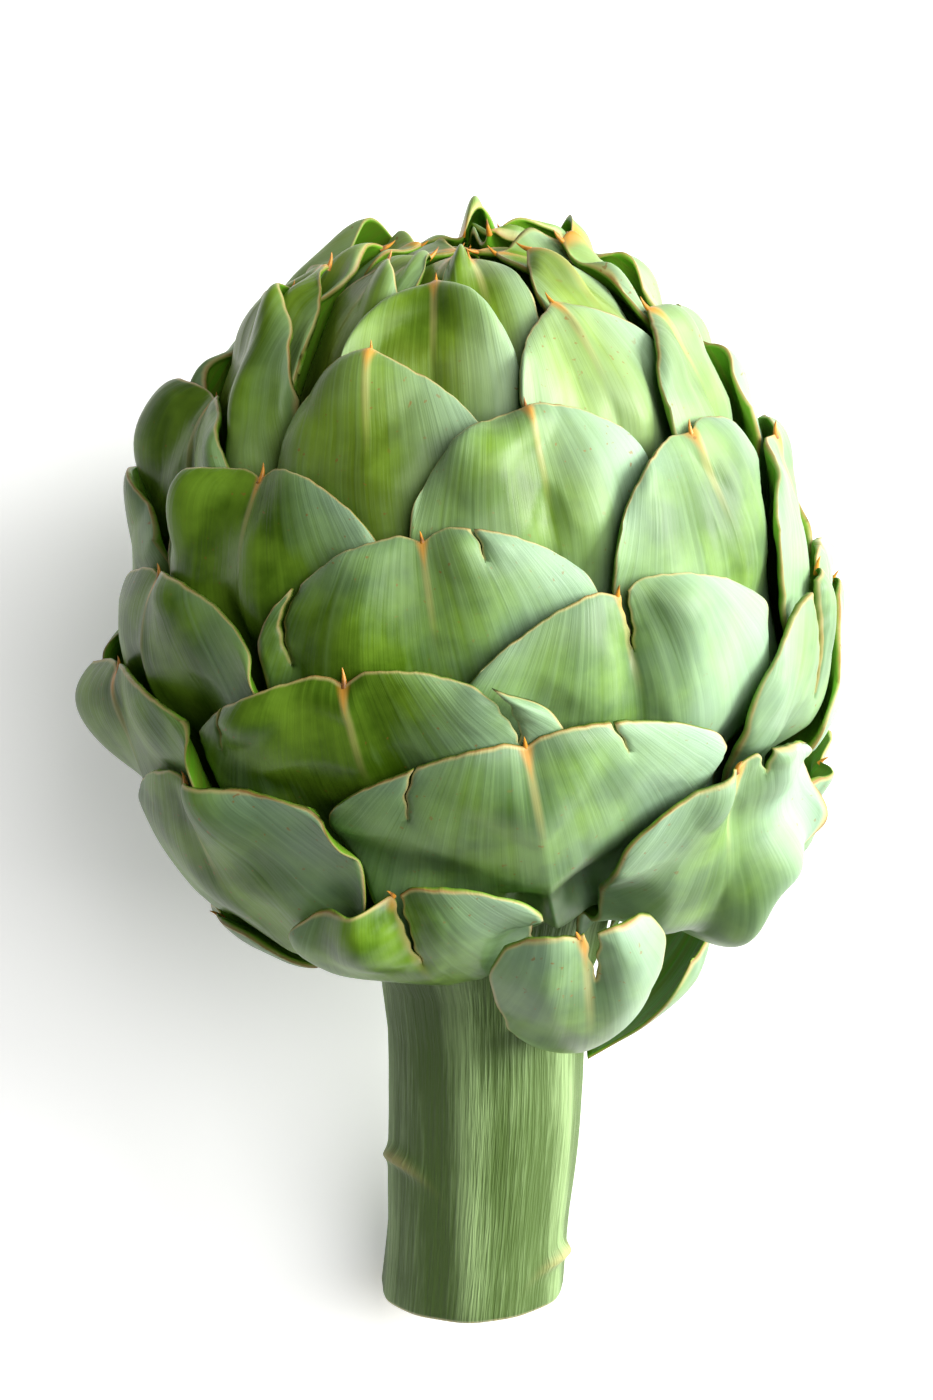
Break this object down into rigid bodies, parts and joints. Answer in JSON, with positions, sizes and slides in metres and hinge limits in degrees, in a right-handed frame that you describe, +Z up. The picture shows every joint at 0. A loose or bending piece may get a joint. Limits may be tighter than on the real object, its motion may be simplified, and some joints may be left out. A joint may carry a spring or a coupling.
{
  "type": "artichoke",
  "caption": "Globe artichoke cut with a short stem, a closed round head of overlapping green bracts, lying on its side.",
  "frame": {"origin": "centre of the bounding box at floor height", "axes": "+Y along the artichoke from the cut stem to the tip of the head, +Z up, +X to the right seen from the stem"},
  "size_m": [0.126, 0.1764, 0.1212],
  "materials": {
    "bract_green": "waxy satin plant skin",
    "bud_green": "soft satin plant skin",
    "stem_green": "ribbed matte plant skin"
  },
  "bodies": {
    "root": {"bract_01": "bract_green", "bract_02": "bract_green", "bract_03": "bract_green", "bract_04": "bract_green", "bract_05": "bract_green", "bract_06": "bract_green", "bract_07": "bract_green", "bract_08": "bract_green", "bract_09": "bract_green", "bract_10": "bract_green", "bract_11": "bract_green", "bract_12": "bract_green", "bract_13": "bract_green", "bract_14": "bract_green", "bract_15": "bract_green", "bract_16": "bract_green", "bract_17": "bract_green", "bract_18": "bract_green", "bract_19": "bract_green", "bract_20": "bract_green", "bract_21": "bract_green", "bract_22": "bract_green", "bract_23": "bract_green", "bract_24": "bract_green", "bract_25": "bract_green", "bract_26": "bract_green", "bract_27": "bract_green", "bract_28": "bract_green", "bract_29": "bract_green", "bract_30": "bract_green", "bract_31": "bract_green", "bract_32": "bract_green", "bract_33": "bract_green", "bract_34": "bract_green", "bract_35": "bract_green", "bract_36": "bract_green", "bract_37": "bract_green", "bract_38": "bract_green", "bract_39": "bract_green", "bract_40": "bract_green", "bract_41": "bract_green", "bract_42": "bract_green", "bract_43": "bract_green", "bract_44": "bract_green", "bract_45": "bract_green", "bract_46": "bract_green", "bract_47": "bract_green", "bract_48": "bract_green", "bract_49": "bract_green", "bract_50": "bract_green", "bract_51": "bract_green", "bract_52": "bract_green", "bract_53": "bract_green", "bract_54": "bract_green", "bract_55": "bract_green", "bract_56": "bract_green", "inner_bud": "bud_green", "stem_and_heart": "stem_green"}
  },
  "joints": []
}
